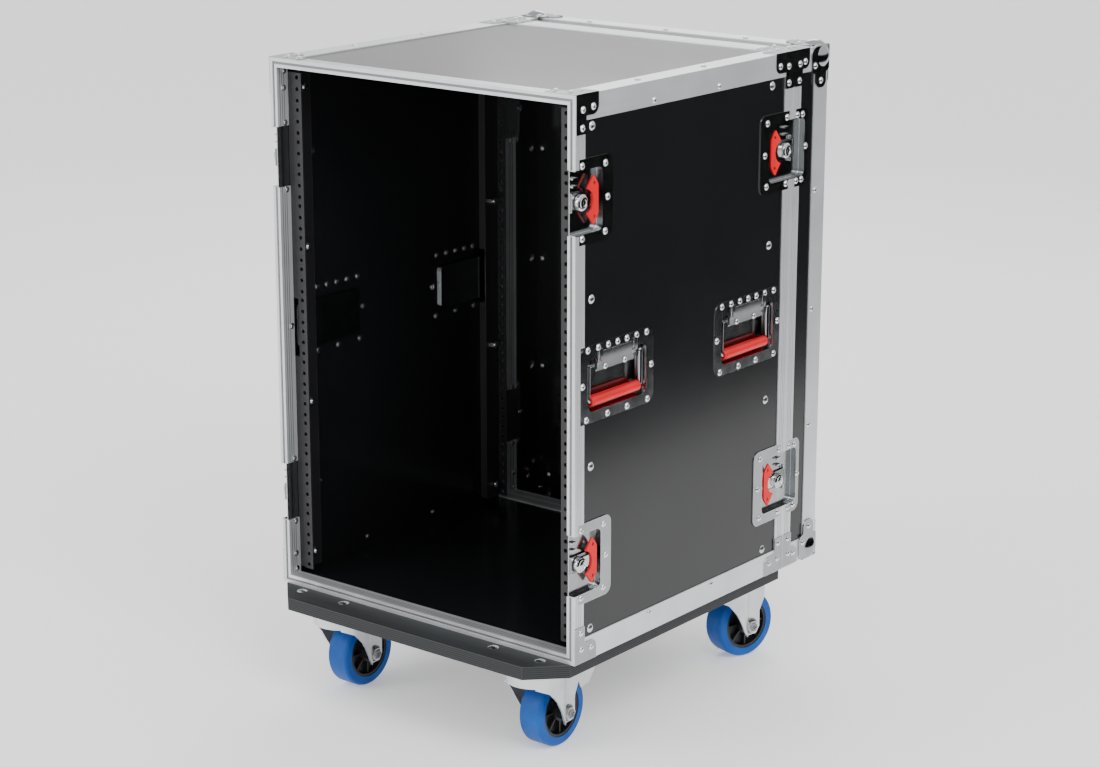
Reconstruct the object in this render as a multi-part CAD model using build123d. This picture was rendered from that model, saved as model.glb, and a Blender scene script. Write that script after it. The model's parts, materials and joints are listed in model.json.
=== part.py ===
"""A 16-unit equipment rack case on four casters, with one end lid fitted and the other left off.

Frame: +Z up, floor at z = 0, open front towards -Y, lid at the +Y end, +X is the right side.
The origin is under the centre of the bounding box. Every length is in millimetres.
"""
from build123d import *
import os
from math import asin, degrees

# ---- driving dimensions -------------------------------------------------------------------------
CASE_W = 526.0            # over the side extrusions
CASE_H = 753.0            # body height: 16 rack units plus top and bottom
BODY_D = 490.0            # front edge of the body to the parting line
LID_D = 86.0
BASE_Z = 151.0            # underside of the case, which is the top of the caster board
FRONT_Y = -269.0
PANEL_T = 9.5             # laminated plywood
SKIN = 1.5                # wall of the aluminium extrusions
ANGLE_LEG = 33.0          # leg of the corner angles

RACK_UNIT = 44.45
UNITS = 16
UNIT_HOLES = (6.35, 22.225, 38.1)
HOLE_SPACING = 465.1      # between the two columns of rack holes
RACK_HOLE_R = 3.0
RAIL_FACE_W = 15.0
RAIL_T = 2.0
RAIL_DEPTH = 32.0
RAIL_SETBACK = 20.0       # rail faces behind the front edge
REAR_SETBACK = 34.0       # and in front of the parting line

BRACE_T = 1.2
RIVET_R = 4.0
RIVET_H = 2.2
BOLT_HEAD_R = 6.0         # rail bolts, through the side panels
BOLT_HEAD_H = 2.8
BOLT_R = 3.0
BOLT_PITCH = 223.0
RAIL_NUT_R = 5.5
RAIL_NUT_H = 5.0
BOARD_BOLT_R = 4.0        # bolts through the caster board
BOARD_HEAD_R = 7.5
BOARD_HEAD_H = 2.0
BOARD_SINK = 2.5
BOARD_NUT_R = 7.5
BOARD_NUT_H = 5.0
THREAD_END = 2.0          # how far a bolt stands out of its nut

LATCH_Z = 240.0           # latch centres above and below the middle of the case
LATCH_BODY = 78.0         # flange length on the body side of the parting line
LATCH_LID = 38.0
LATCH_HALF_H = 55.0
LATCH_POCKET_BODY = 56.0
LATCH_POCKET_LID = 31.0
LATCH_POCKET_HALF_H = 41.0
LATCH_DEPTH = 9.3
SHEET = 1.2
BOSS_IN = 14.0            # latch spindle to the parting line
FLANGE_START = 8.0        # the ribs of the edge extrusion run on in front of the flange

HANDLE_W = 158.0
HANDLE_H = 103.0
HANDLE_Y = (90.5, 389.5)  # from the front edge
HANDLE_Z = 376.0          # above the case bottom
HANDLE_DEPTH = 16.0
HANDLE_OPEN_W = 126.0
HANDLE_OPEN_TOP = 32.0
HANDLE_OPEN_BOTTOM = -37.0
HANDLE_TAPER = 14.0
BAIL_R = 4.0
BAIL_HALF = 56.0
BAIL_PIVOT_Z = 22.0
BAIL_DROP = 47.0
GRIP_R = 7.5
GRIP_LEN = 100.0

BOARD_W = 514.0
BOARD_T = 18.0
BOARD_OVERHANG = 46.0
BOARD_CHAMFER = 45.0
CASTER_X = 176.0
CASTER_Y = (27.0, 463.0)  # from the front edge
CASTER_HOLE = 80.0
PLATE_W = 105.0
PLATE_T = 3.5
WHEEL_R = 50.0
WHEEL_W = 36.0
TRAIL = 35.0
CROWN_R = 41.5
LEG_HALF = 28.0
FORK_T = 3.0
YAW = {"front_left": 0.0, "front_right": 0.0, "rear_left": -10.0, "rear_right": -16.0}

# ---- derived places -----------------------------------------------------------------------------
HALF_W = CASE_W / 2
TOP_Z = BASE_Z + CASE_H
MID_Z = BASE_Z + CASE_H / 2
PART_Y = FRONT_Y + BODY_D
REAR_Y = PART_Y + LID_D
PANEL_OUT = HALF_W - SKIN
PANEL_IN = PANEL_OUT - PANEL_T
FRAME_LEG = 20.0
FRAME_WEB = 3.0
FRAME_IN = PANEL_IN - SKIN
FRAME_INNER_LEG = 21.5
WALL = HALF_W - PANEL_IN                      # whole wall thickness, 11 mm
RAIL_X = HOLE_SPACING / 2
RAIL_OUT = RAIL_X + RAIL_FACE_W / 2
RAIL_H = UNITS * RACK_UNIT
RAIL_Z = MID_Z - RAIL_H / 2
BOLT_Z = [MID_Z + k * BOLT_PITCH for k in (-1.5, -0.5, 0.5, 1.5)]
BOLT_IN_FRONT = 36.0                          # rail bolts, from the front edge
BOLT_IN_REAR = 50.0                           # and from the parting line
CORNERS = [(sx, sz) for sx in (-1, 1) for sz in (-1, 1)]
BOARD_BOTTOM = BASE_Z - BOARD_T
BIG = 2000.0
CUT = 1.0                                     # how far a cutter runs past what it cuts
OUTSIDE = 5.0                                 # and past the outer faces of the case

parts = {}


# ---- small helpers ------------------------------------------------------------------------------
def block(x0, x1, y0, y1, z0, z1):
    """A box between two corners given in any order."""
    size = (abs(x1 - x0), abs(y1 - y0), abs(z1 - z0))
    return Pos((x0 + x1) / 2, (y0 + y1) / 2, (z0 + z1) / 2) * Box(*size)


def rod_x(x0, x1, y, z, r):
    return Pos((x0 + x1) / 2, y, z) * Rot(0, 90, 0) * Cylinder(r, abs(x1 - x0))


def rod_y(y0, y1, x, z, r):
    return Pos(x, (y0 + y1) / 2, z) * Rot(90, 0, 0) * Cylinder(r, abs(y1 - y0))


def rod_z(z0, z1, x, y, r):
    return Pos(x, y, (z0 + z1) / 2) * Cylinder(r, abs(z1 - z0))


def solids(*shapes):
    """Every solid in the given shapes and lists of shapes, in one flat list."""
    found = []
    for shape in shapes:
        found += solids(*shape) if isinstance(shape, (list, tuple)) else shape.solids()
    return found


def flip_x(shapes):
    return [mirror(s, about=Plane.YZ) for s in solids(shapes)]


def two_sides(shapes):
    """The right-hand pieces and their mirror images on the left."""
    return solids(shapes) + flip_x(shapes)


def flip_z(shapes):
    return [mirror(s, about=Plane.XY.offset(MID_Z)) for s in solids(shapes)]


def put(name, *shapes):
    parts[name] = solids(*shapes)


def ring(inset_out, inset_in, y0, y1):
    """A rectangular tube round the case, between two insets from its outer faces."""
    def slab(inset):
        return block(-HALF_W + inset, HALF_W - inset, y0, y1, BASE_Z + inset, TOP_Z - inset)
    return slab(inset_out) - slab(inset_in)


def mitred(frame):
    """Cut a closed rectangular frame at 45 degrees into its four lengths."""
    lengths = []
    far = HALF_W + 60                         # beyond the corners
    shift = CASE_H / 2 - HALF_W               # the mitres run at 45 degrees from each corner
    for sx in (-1, 1):
        pts = [(0, shift), (sx * far, shift + far), (sx * far, -shift - far), (0, -shift)]
        lengths.append(frame & wedge(pts))
    for sz in (-1, 1):
        pts = [(0, sz * shift), (far, sz * (shift + far)), (-far, sz * (shift + far))]
        lengths.append(frame & wedge(pts))
    return solids(lengths)


def wedge(pts):
    """A prism along Y from (x, z) points about the middle of the case."""
    face = make_face(Polyline(*[(x, z + MID_Z) for x, z in pts], close=True))
    return extrude(Plane.XZ * face, BIG / 2, both=True)


def side_plate(pts, x0, x1):
    """A plate in the YZ plane from (y, z) points, between two x values."""
    face = make_face(Polyline(*pts, close=True))
    return extrude(Plane.YZ.offset(x0) * face, x1 - x0)


def nut(corner_r, height, hole_r):
    """A hexagon nut standing on the XY plane."""
    return extrude(RegularPolygon(corner_r, 6), height) - rod_z(-CUT, height + CUT, 0, 0, hole_r)


def dome_x(y, z, r, h, x0):
    """A low round head standing on a face that looks along +X."""
    big_r = (r * r + h * h) / (2 * h)
    arc = CenterArc((h - big_r, 0), big_r, 0, degrees(asin(r / big_r)))
    profile = make_face([Line((0, 0), arc @ 0), arc, Line(arc @ 1, (0, 0))])
    return Pos(x0, y, z) * revolve(profile, Axis.X)


RIVET = dome_x(0, 0, RIVET_R, RIVET_H, 0).solids()[0]


def rivet_side(y, z, x=HALF_W):
    return Pos(x, y, z) * RIVET


def rivet_top(x, y, z=TOP_Z):
    return Pos(x, y, z) * Rot(0, -90, 0) * RIVET


def rivet_rear(x, z, y=REAR_Y):
    return Pos(x, y, z) * Rot(0, 0, 90) * RIVET


def latch_places():
    """Parting plane, direction into the body and height of the latches on the right side."""
    for plane, inward in ((FRONT_Y, 1), (PART_Y, -1)):
        for sz in (-1, 1):
            yield plane, inward, MID_Z + sz * LATCH_Z


# ---- panels -------------------------------------------------------------------------------------
def handle_pocket(grow):
    """The tapered hollow of a handle dish on the right side, about (0, 0) in y and z."""
    half = HANDLE_OPEN_W / 2 + grow
    high = HANDLE_OPEN_TOP - HANDLE_OPEN_BOTTOM + 2 * grow
    mid = (HANDLE_OPEN_TOP + HANDLE_OPEN_BOTTOM) / 2
    outline = Pos(0, mid) * RectangleRounded(2 * half, high, DISH_CORNER + grow)
    depth = HANDLE_DEPTH + grow
    start = PANEL_OUT + SHEET
    return extrude(Plane.YZ.offset(start) * outline, -depth, taper=HANDLE_TAPER)


def latch_opening(x, plane, inward, length, z):
    """The hole for a latch dish in the wall on the right side, from the given x outwards."""
    half = LATCH_POCKET_HALF_H + SHEET
    return block(x, HALF_W + OUTSIDE, plane - inward * OUTSIDE, plane + inward * length, z - half, z + half)


def make_side_panel():
    panel = block(PANEL_IN, PANEL_OUT, FRONT_Y + FRAME_WEB, PART_Y - FRAME_WEB,
                  BASE_Z + SKIN, TOP_Z - SKIN)
    for plane, inward, z in latch_places():
        panel -= latch_opening(PANEL_IN - CUT, plane, inward, LATCH_POCKET_BODY + SHEET, z)
    for y in HANDLE_Y:
        panel -= Pos(0, FRONT_Y + y, BASE_Z + HANDLE_Z) * handle_pocket(SHEET)
    for y in (FRONT_Y + BOLT_IN_FRONT, PART_Y - BOLT_IN_REAR):
        for z in BOLT_Z:
            panel -= rod_x(PANEL_IN - CUT, PANEL_OUT + CUT, y, z, BOLT_R)
    return panel


def make_panels():
    right = make_side_panel()
    put("side_panel_right", right)
    put("side_panel_left", flip_x(right))
    top = block(-PANEL_IN, PANEL_IN, FRONT_Y + FRAME_WEB, PART_Y - FRAME_WEB,
                TOP_Z - WALL, TOP_Z - SKIN)
    put("top_panel", top)
    put("bottom_panel", flip_z(top))


# ---- aluminium extrusions -----------------------------------------------------------------------
GROOVE_OUT = 4.5          # groove in the meeting face, from the outside
GROOVE_W = 4.0
GROOVE_D = 1.8
TONGUE_W = 3.0
TONGUE_H = 1.4
FLUTE_D = 0.5
FLUTES = (5.0, 9.0, 13.0)
FLUTE_W = 1.2


def edge_channel(plane, inward):
    """A channel round the edge of the panels, its web on the given plane."""
    def span(a, b):
        return plane + inward * a, plane + inward * b
    frame = ring(0, WALL + SKIN, *span(0, FRAME_WEB))
    frame += ring(0, SKIN, *span(0, FRAME_LEG))
    frame += ring(WALL, WALL + SKIN, *span(0, FRAME_INNER_LEG))
    for at in FLUTES:
        frame -= ring(-CUT, FLUTE_D, *span(at, at + FLUTE_W))
    return frame


def latch_gap(frame, plane, inward, length):
    """Clear a frame for the latch dishes on both sides."""
    for sz in (-1, 1):
        z = MID_Z + sz * LATCH_Z
        under_flange = block(PANEL_OUT, HALF_W + OUTSIDE, plane + inward * FLANGE_START,
                             plane + inward * length, z - LATCH_HALF_H, z + LATCH_HALF_H)
        frame -= two_sides([under_flange, latch_opening(FRAME_IN - CUT, plane, inward, length, z)])
    return frame


def handle_gap(frame, y):
    """Notch a frame where the flanges of the handle dishes lie over it."""
    z = BASE_Z + HANDLE_Z
    flange = block(PANEL_OUT, HALF_W + OUTSIDE, FRONT_Y + y - HANDLE_W / 2, FRONT_Y + y + HANDLE_W / 2,
                   z - HANDLE_H / 2, z + HANDLE_H / 2)
    return frame - two_sides(flange)


def make_edge_frames():
    for name, plane, inward in (("front_edge_frame", FRONT_Y, 1), ("rear_edge_frame", PART_Y, -1)):
        frame = edge_channel(plane, inward)
        groove = ring(GROOVE_OUT, GROOVE_OUT + GROOVE_W, plane, plane + inward * GROOVE_D)
        frame = latch_gap(frame - groove, plane, inward, LATCH_BODY)
        for y in HANDLE_Y:
            frame = handle_gap(frame, y)
        put(name, mitred(frame))
    frame = edge_channel(PART_Y, 1)
    slack = (GROOVE_W - TONGUE_W) / 2
    tongue = ring(GROOVE_OUT + slack, GROOVE_OUT + slack + TONGUE_W, PART_Y - TONGUE_H, PART_Y)
    frame = latch_gap(frame + tongue, PART_Y, 1, LATCH_LID)
    return mitred(frame)


def angle_lengths(y0, y1):
    """Four angles along the long edges of the case."""
    bars = []
    for sx, sz in CORNERS:
        x, z = sx * HALF_W, (TOP_Z if sz > 0 else BASE_Z)
        leg = block(x, x - sx * SKIN, y0, y1, z, z - sz * ANGLE_LEG)
        leg += block(x, x - sx * ANGLE_LEG, y0, y1, z, z - sz * SKIN)
        bars.append(leg)
    return bars


def make_angles():
    put("corner_angles", angle_lengths(FRONT_Y + FRAME_LEG, PART_Y - FRAME_LEG))
    rear = ring(0, SKIN, REAR_Y - ANGLE_LEG, REAR_Y)
    rear += ring(0, ANGLE_LEG, REAR_Y - SKIN, REAR_Y)
    short = angle_lengths(PART_Y + FRAME_LEG, REAR_Y - ANGLE_LEG)
    put("lid_extrusions", make_edge_frames(), mitred(rear), short)


# ---- corner braces ------------------------------------------------------------------------------
BRACE_LEN = 46.0
BRACE_WIDE = 27.0
BRACE_TAIL = 50.0
BRACE_NARROW = 21.0
BRACE_ROUND = 11.0
BRACE_TAIL_ROUND = 2.0
BRACE_LAP = 2.0
BRACE_RIVETS = ((14.0, 19.0), (13.0, 42.0))   # along the edge and down the frame
BRACE_END_RIVET = (11.0, 17.0)                # back from the far end, and down the frame


def brace_face(length):
    """One face of a brace: along the edge (x) and down the frame (y), from the corner."""
    wide = Pos(length / 2, -BRACE_WIDE / 2) * Rectangle(length, BRACE_WIDE)
    corner = wide.vertices().sort_by(Axis.X)[-2:].sort_by(Axis.Y)[0]
    wide = fillet(corner, BRACE_ROUND)
    tail = RectangleRounded(BRACE_NARROW, BRACE_TAIL, BRACE_TAIL_ROUND)
    tail = Pos(BRACE_NARROW / 2, -BRACE_TAIL / 2) * tail
    return wide + tail


def brace(plane, inward, length):
    """A folded plate over the top right corner, on the side and on the top."""
    face = brace_face(length)
    side = extrude(Plane.YZ.offset(HALF_W) * face, BRACE_T)
    flat = mirror(extrude(Plane.XY * face, BRACE_T), about=Plane.XZ)
    side = Pos(0, 0, TOP_Z) * side
    flat = Pos(0, 0, TOP_Z) * Rot(0, 0, 90) * flat
    lip = block(HALF_W, HALF_W + BRACE_T, 0, length, TOP_Z - BRACE_LAP, TOP_Z + BRACE_T)
    piece = side + Pos(HALF_W, 0, 0) * flat + lip
    if inward < 0:
        piece = mirror(piece, about=Plane.XZ)
    return Pos(0, plane, 0) * piece


def brace_rivets(plane, inward, length):
    """Three rivets on each face of a brace on the top right corner."""
    back, low = BRACE_END_RIVET
    heads = []
    for along, down in (*BRACE_RIVETS, (length - back, low)):
        y = plane + inward * along
        heads.append(rivet_side(y, TOP_Z - down, HALF_W + BRACE_T))
        heads.append(rivet_top(HALF_W - down, y, TOP_Z + BRACE_T))
    return heads


def four_corners(shapes):
    """Pieces of the top right corner, copied to all four."""
    right = solids(shapes) + flip_z(shapes)
    return right + flip_x(right)


def above_board(shapes):
    """Leave out what would stand below the case, where the board is."""
    space = block(-BIG, BIG, -BIG, BIG, BASE_Z, BIG)
    kept = [s for s in solids(shapes) if s.center().Z > BASE_Z]
    return [s & space if s.bounding_box().min.Z < BASE_Z else s for s in kept]


# ---- rack rails ---------------------------------------------------------------------------------
BATTEN_GAP = 6.0          # between the battens and the backs of the handle dishes
BATTEN_SHORT = 2.0


def rail(face_y, inward, bolt_holes):
    """A punched angle on the right side: its face, on the given y, and its side leg."""
    face = Pos(RAIL_X, RAIL_Z + RAIL_H / 2) * Rectangle(RAIL_FACE_W, RAIL_H)
    holes = [Pos(RAIL_X, RAIL_Z + u * RACK_UNIT + h) * Circle(RACK_HOLE_R)
             for u in range(UNITS) for h in UNIT_HOLES]
    front = extrude(Plane.XZ.offset(-face_y) * (face - holes), -inward * RAIL_T)
    leg = block(RAIL_OUT - RAIL_T, RAIL_OUT, face_y + inward * RAIL_T, face_y + inward * RAIL_DEPTH,
                RAIL_Z, RAIL_Z + RAIL_H)
    return [front, leg - bolt_holes]


def bolt_columns():
    """Place of the rail bolt column, rail face and direction into the case, for both ends."""
    front = FRONT_Y + RAIL_SETBACK
    rear = PART_Y - REAR_SETBACK
    return ((FRONT_Y + BOLT_IN_FRONT, front, 1), (PART_Y - BOLT_IN_REAR, rear, -1))


def rail_bolt(y, z):
    """A bolt through the side panel, batten and rail, with its nut inside the rail."""
    nut_x = RAIL_OUT - RAIL_T - RAIL_NUT_H
    head = dome_x(y, z, BOLT_HEAD_R, BOLT_HEAD_H, PANEL_OUT)
    bolt = head + rod_x(nut_x - THREAD_END, PANEL_OUT, y, z, BOLT_R)
    return [bolt, Pos(nut_x, y, z) * Rot(0, 90, 0) * nut(RAIL_NUT_R, RAIL_NUT_H, BOLT_R)]


def make_rails():
    rails, battens, bolts = [], [], []
    low = BASE_Z + HANDLE_Z + HANDLE_OPEN_BOTTOM - SHEET - BATTEN_GAP
    high = BASE_Z + HANDLE_Z + HANDLE_OPEN_TOP + SHEET + BATTEN_GAP
    for bolt_y, face_y, inward in bolt_columns():
        holes = [rod_x(RAIL_OUT - RAIL_T - CUT, PANEL_IN + CUT, bolt_y, z, BOLT_R) for z in BOLT_Z]
        rails += rail(face_y, inward, holes)
        for z0, z1 in ((RAIL_Z, low), (high, RAIL_Z + RAIL_H)):
            strip = block(RAIL_OUT, PANEL_IN, face_y + inward * RAIL_T,
                          face_y + inward * (RAIL_DEPTH - BATTEN_SHORT), z0, z1)
            battens.append(strip - holes)
        bolts += [rail_bolt(bolt_y, z) for z in BOLT_Z]
    put("rack_rails", two_sides(rails))
    put("rail_battens", two_sides(battens))
    return two_sides(bolts)


# ---- recessed latches ---------------------------------------------------------------------------
POCKET_FLOOR = HALF_W - LATCH_DEPTH
SPINDLE_R = 4.0
WING_LINK_T = 1.0
WING_X = (HALF_W - 4.6, HALF_W - 1.2)
HOOK_X = (POCKET_FLOOR + 1.6, POCKET_FLOOR + 3.4)
HOOK_HALF = 12.0
HOOK_LEN = 41.0
HOOK_REACH = 12.0         # rear hooks reach into the lid, front hooks lie withdrawn
HOOK_TRAVEL = 6.0
HOOK_CLAW_T = 2.5
BOSS_R = 10.5
SPINDLE_SHORT = 0.6       # spindle end, below the outer face
HUB_PROUD = 0.4           # hub rim above the outer face, under its dome
HUB_DOME_H = 3.0
RUN_GAP = 0.1
CLEARANCE = 0.4
FLANGE_ROUND = 12.0
POCKET_ROUND = 8.0
GUIDE_Y = (1.0, 11.0)     # square guide at the open end of the dish
GUIDE_Z = (20.0, 32.0)
GUIDE_WALL = 2.0
LINK_LEN = 34.0
LINK_W = 15.0
PADDLE_ROOT = (11.5, 15.5)    # bow outline: along the body and away from the middle
PADDLE_TIP = (24.5, 31.5)
PADDLE_SHOULDER = (31.5, 24.5)
PADDLE_FLAT = (35.5, 18.0)
PADDLE_HOLLOW = 25.0
PADDLE_HOLE = (26.5, 21.5)
PADDLE_HOLE_R = 2.4
LUG_Y = (5.0, 8.0)        # keeper lugs in the lid, from the parting line
LUG_IN = 1.0              # from the side of the hook
LUG_OUT = 6.0


def dish_half(length, pocket):
    """Half of a latch dish, open at the parting plane y = 0, about z = 0."""
    high = LATCH_POCKET_HALF_H
    flange = block(PANEL_OUT, HALF_W, FLANGE_START, length, -LATCH_HALF_H, LATCH_HALF_H)
    shell = block(POCKET_FLOOR - SHEET, HALF_W, 0, pocket + SHEET, -high - SHEET, high + SHEET)
    hollow = block(POCKET_FLOOR, HALF_W + CUT, -CUT, pocket, -high, high)
    return round_far(flange, FLANGE_ROUND) + shell - round_far(hollow, POCKET_ROUND)


def round_far(plate, radius):
    """Round the two corners of a plate that are furthest along +Y."""
    return fillet(plate.edges().filter_by(Axis.X).group_by(Axis.Y)[-1], radius)


def latch_dish():
    """The body half, with the spindle that the wing turns on and a square guide at the open end."""
    dish = dish_half(LATCH_BODY, LATCH_POCKET_BODY)
    dish += rod_x(POCKET_FLOOR, HALF_W - SPINDLE_SHORT, BOSS_IN, 0, SPINDLE_R)
    guide = block(POCKET_FLOOR, WING_X[0] - CLEARANCE, *GUIDE_Y, *GUIDE_Z)
    inside = block(POCKET_FLOOR, WING_X[0], GUIDE_Y[0] - CUT, GUIDE_Y[1] + CUT,
                   GUIDE_Z[0] + GUIDE_WALL, GUIDE_Z[1] - GUIDE_WALL)
    return dish + guide - inside


def wing_paddle():
    """The bow-shaped grip, its straight side towards the body, about the spindle in y and z."""
    lines = []
    for sz in (-1, 1):
        root, tip, shoulder, flat = [(y, sz * z) for y, z in
                                     (PADDLE_ROOT, PADDLE_TIP, PADDLE_SHOULDER, PADDLE_FLAT)]
        lines.append(Line(root, tip))
        lines.append(ThreePointArc(tip, shoulder, flat))
    y, z = PADDLE_FLAT
    lines.append(Line((y, -z), (y, z)))
    y, z = PADDLE_ROOT
    lines.append(ThreePointArc((y, z), (PADDLE_HOLLOW, 0), (y, -z)))
    bow = make_face(lines)
    for sz in (-1, 1):
        bow -= Pos(PADDLE_HOLE[0], sz * PADDLE_HOLE[1]) * Circle(PADDLE_HOLE_R)
    start = WING_X[0] + WING_LINK_T
    return extrude(Plane.YZ.offset(start) * bow, WING_X[1] - start)


def wing_hub():
    """The domed hub with the flat link that carries the grip."""
    link = Pos(LINK_LEN / 2, 0) * Rectangle(LINK_LEN, LINK_W) - Circle(BOSS_R - CUT)
    hub = extrude(Plane.YZ.offset(WING_X[0]) * link, WING_LINK_T)
    hub += rod_x(WING_X[0], HALF_W + HUB_PROUD, 0, 0, BOSS_R)
    hub += dome_x(0, 0, BOSS_R, HUB_DOME_H, HALF_W + HUB_PROUD)
    return hub - rod_x(WING_X[0] - CUT, HALF_W - SPINDLE_SHORT + RUN_GAP, 0, 0, SPINDLE_R + RUN_GAP)


def latch_wing():
    return [Pos(0, BOSS_IN, 0) * piece for piece in (wing_paddle(), wing_hub())]


def latch_hook(reach):
    """The draw plate under the wing, slotted for the spindle, with a turned claw at its end."""
    half_slot = SPINDLE_R + RUN_GAP
    plate = block(*HOOK_X, 0, HOOK_LEN, -HOOK_HALF, HOOK_HALF)
    plate += block(POCKET_FLOOR + 2 * RUN_GAP, HOOK_X[1] + CLEARANCE, 0, HOOK_CLAW_T, -HOOK_HALF, HOOK_HALF)
    near, far = BOSS_IN, BOSS_IN + HOOK_REACH + HOOK_TRAVEL
    slot = block(HOOK_X[0] - CUT, HOOK_X[1] + CUT, near, far, -half_slot, half_slot)
    for y in (near, far):
        slot += rod_x(HOOK_X[0] - CUT, HOOK_X[1] + CUT, y, 0, half_slot)
    return Pos(0, -reach, 0) * (plate - slot)


def lid_dish():
    """The lid half, reaching along +Y, with the two lugs that the claw draws against."""
    dish = dish_half(LATCH_LID, LATCH_POCKET_LID)
    for sz in (-1, 1):
        dish += block(POCKET_FLOOR, WING_X[0] - CLEARANCE, *LUG_Y,
                      sz * (HOOK_HALF + LUG_IN), sz * (HOOK_HALF + LUG_OUT))
    return dish


def place_latch(piece, plane, inward, z):
    """Put latch pieces made for the front, right side at one of the four right-hand places."""
    pieces = solids(piece)
    if inward < 0:
        pieces = [mirror(p, about=Plane.XZ) for p in pieces]
    return [Pos(0, plane, z) * p for p in pieces]


DISH_SPOTS = ((14, 46.5), (62, 44), (67, 0), (62, -44), (14, -46.5))
LID_SPOTS = ((12, 46.5), (25, 46), (33.8, 0), (25, -46), (12, -46.5))


def latch_rivets():
    body, lid = [], []
    for plane, inward, z in latch_places():
        for along, up in DISH_SPOTS:
            body.append(rivet_side(plane + inward * along, z + up))
        if inward < 0:
            lid += [rivet_side(plane + along, z + up) for along, up in LID_SPOTS]
    return body, lid


def make_latches():
    dish, wing = latch_dish(), latch_wing()
    dishes = []
    for plane, inward, z in latch_places():
        end = "front" if inward > 0 else "rear"
        row = "upper" if z > MID_Z else "lower"
        hook = latch_hook(0 if inward > 0 else HOOK_REACH)
        dishes.append(place_latch(dish, plane, inward, z))
        for side in ("right", "left"):
            for kind, piece in (("wing", wing), ("hook", hook)):
                here = place_latch(piece, plane, inward, z)
                put(f"latch_{kind}_{end}_{row}_{side}", here if side == "right" else flip_x(here))
    put("latch_dishes", two_sides(dishes))
    keepers = [Pos(0, PART_Y, MID_Z + sz * LATCH_Z) * lid_dish() for sz in (-1, 1)]
    put("lid_latch_dishes", two_sides(keepers))


# ---- recessed spring handles --------------------------------------------------------------------
LUG_T = 5.0
LUG_BACK = 10.0           # lugs, behind and in front of the pivot
LUG_FRONT = 5.0
LUG_BELOW = 5.0
PIVOT_R = BAIL_R - 1.0
PIVOT_END = 4.0           # how far the turned-in ends stand out of the lugs
BAIL_IN = 6.4             # bail centre behind the flange face
BAIL_X = PANEL_OUT + SHEET - BAIL_IN
BAIL_BEND = 6.0
GRIP_ROUND = 2.5
FLANGE_CORNER = 16.0
DISH_CORNER = 10.0


def handle_dish():
    """A pressed dish with a wide flange and two hinge lugs for the bail, about (0, 0) in y and z."""
    outline = RectangleRounded(HANDLE_W, HANDLE_H, FLANGE_CORNER)
    dish = extrude(Plane.YZ.offset(PANEL_OUT) * outline, SHEET)
    dish = dish + handle_pocket(SHEET) - handle_pocket(0)
    for sy in (-1, 1):
        y = sy * (BAIL_HALF - BAIL_R - LUG_T)
        lug = block(BAIL_X - LUG_BACK, BAIL_X + LUG_FRONT, y, y - sy * LUG_T,
                    BAIL_PIVOT_Z - LUG_BELOW, HANDLE_OPEN_TOP + CUT)
        dish += lug & handle_pocket(SHEET / 2)
        dish -= rod_y(y + sy * CUT, y - sy * (LUG_T + CUT), BAIL_X, BAIL_PIVOT_Z, PIVOT_R + RUN_GAP / 2)
    return dish


def handle_bail():
    """A round steel bail with turned-in ends that hinge in the lugs."""
    low = BAIL_PIVOT_Z - BAIL_DROP
    half = BAIL_HALF
    path = FilletPolyline((BAIL_X, -half, BAIL_PIVOT_Z), (BAIL_X, -half, low), (BAIL_X, half, low),
                          (BAIL_X, half, BAIL_PIVOT_Z), radius=BAIL_BEND)
    start = Plane((BAIL_X, -half, BAIL_PIVOT_Z), z_dir=(0, 0, -1))
    bail = sweep(start * Circle(BAIL_R), path)
    for sy in (-1, 1):
        bail += Pos(BAIL_X, sy * half, BAIL_PIVOT_Z) * Sphere(BAIL_R)
        end = sy * (half - BAIL_R - LUG_T - PIVOT_END)
        bail += rod_y(sy * half, end, BAIL_X, BAIL_PIVOT_Z, PIVOT_R)
    return bail


def handle_grip():
    """The moulded sleeve on the straight of the bail, rounded at its ends."""
    z = BAIL_PIVOT_Z - BAIL_DROP
    sleeve = rod_y(-GRIP_LEN / 2, GRIP_LEN / 2, BAIL_X, z, GRIP_R)
    sleeve = fillet(sleeve.edges().filter_by(GeomType.CIRCLE), GRIP_ROUND)
    return sleeve - rod_y(-GRIP_LEN, GRIP_LEN, BAIL_X, z, BAIL_R)


HANDLE_SPOTS = ((-74, 0), (74, 0), (-66, -46), (-21, -46), (21, -46), (66, -46),
                (-63, 46), (63, 46), (-41, 46), (-20, 46), (0, 46), (20, 46), (41, 46))


def make_handles():
    dish, bail, grip = handle_dish(), handle_bail(), handle_grip()
    dishes, heads = [], []
    for end, y in zip(("front", "rear"), HANDLE_Y):
        here = Pos(0, FRONT_Y + y, BASE_Z + HANDLE_Z)
        dishes.append(here * dish)
        heads += [rivet_side(FRONT_Y + y + a, BASE_Z + HANDLE_Z + b, PANEL_OUT + SHEET)
                  for a, b in HANDLE_SPOTS]
        for kind, piece in (("bail", bail), ("grip", grip)):
            put(f"handle_{kind}_{end}_right", here * piece)
            put(f"handle_{kind}_{end}_left", flip_x(here * piece))
    put("handle_dishes", two_sides(dishes))
    return heads


# ---- lid ----------------------------------------------------------------------------------------
BALL_R = 22.0
BALL_IN = 14.0
BALL_PLATE_T = 2.2
ARM_W = 26.0              # narrow arm of each face
ARM_L = 58.0
ARM_ROUND = 10.0
ARM_IN = 7.0              # side and back arms, in from the edge
PALM = (44.0, 38.0)       # wide part of each face
PALM_ROUND = 12.0
FOLD_L = 33.0


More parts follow.
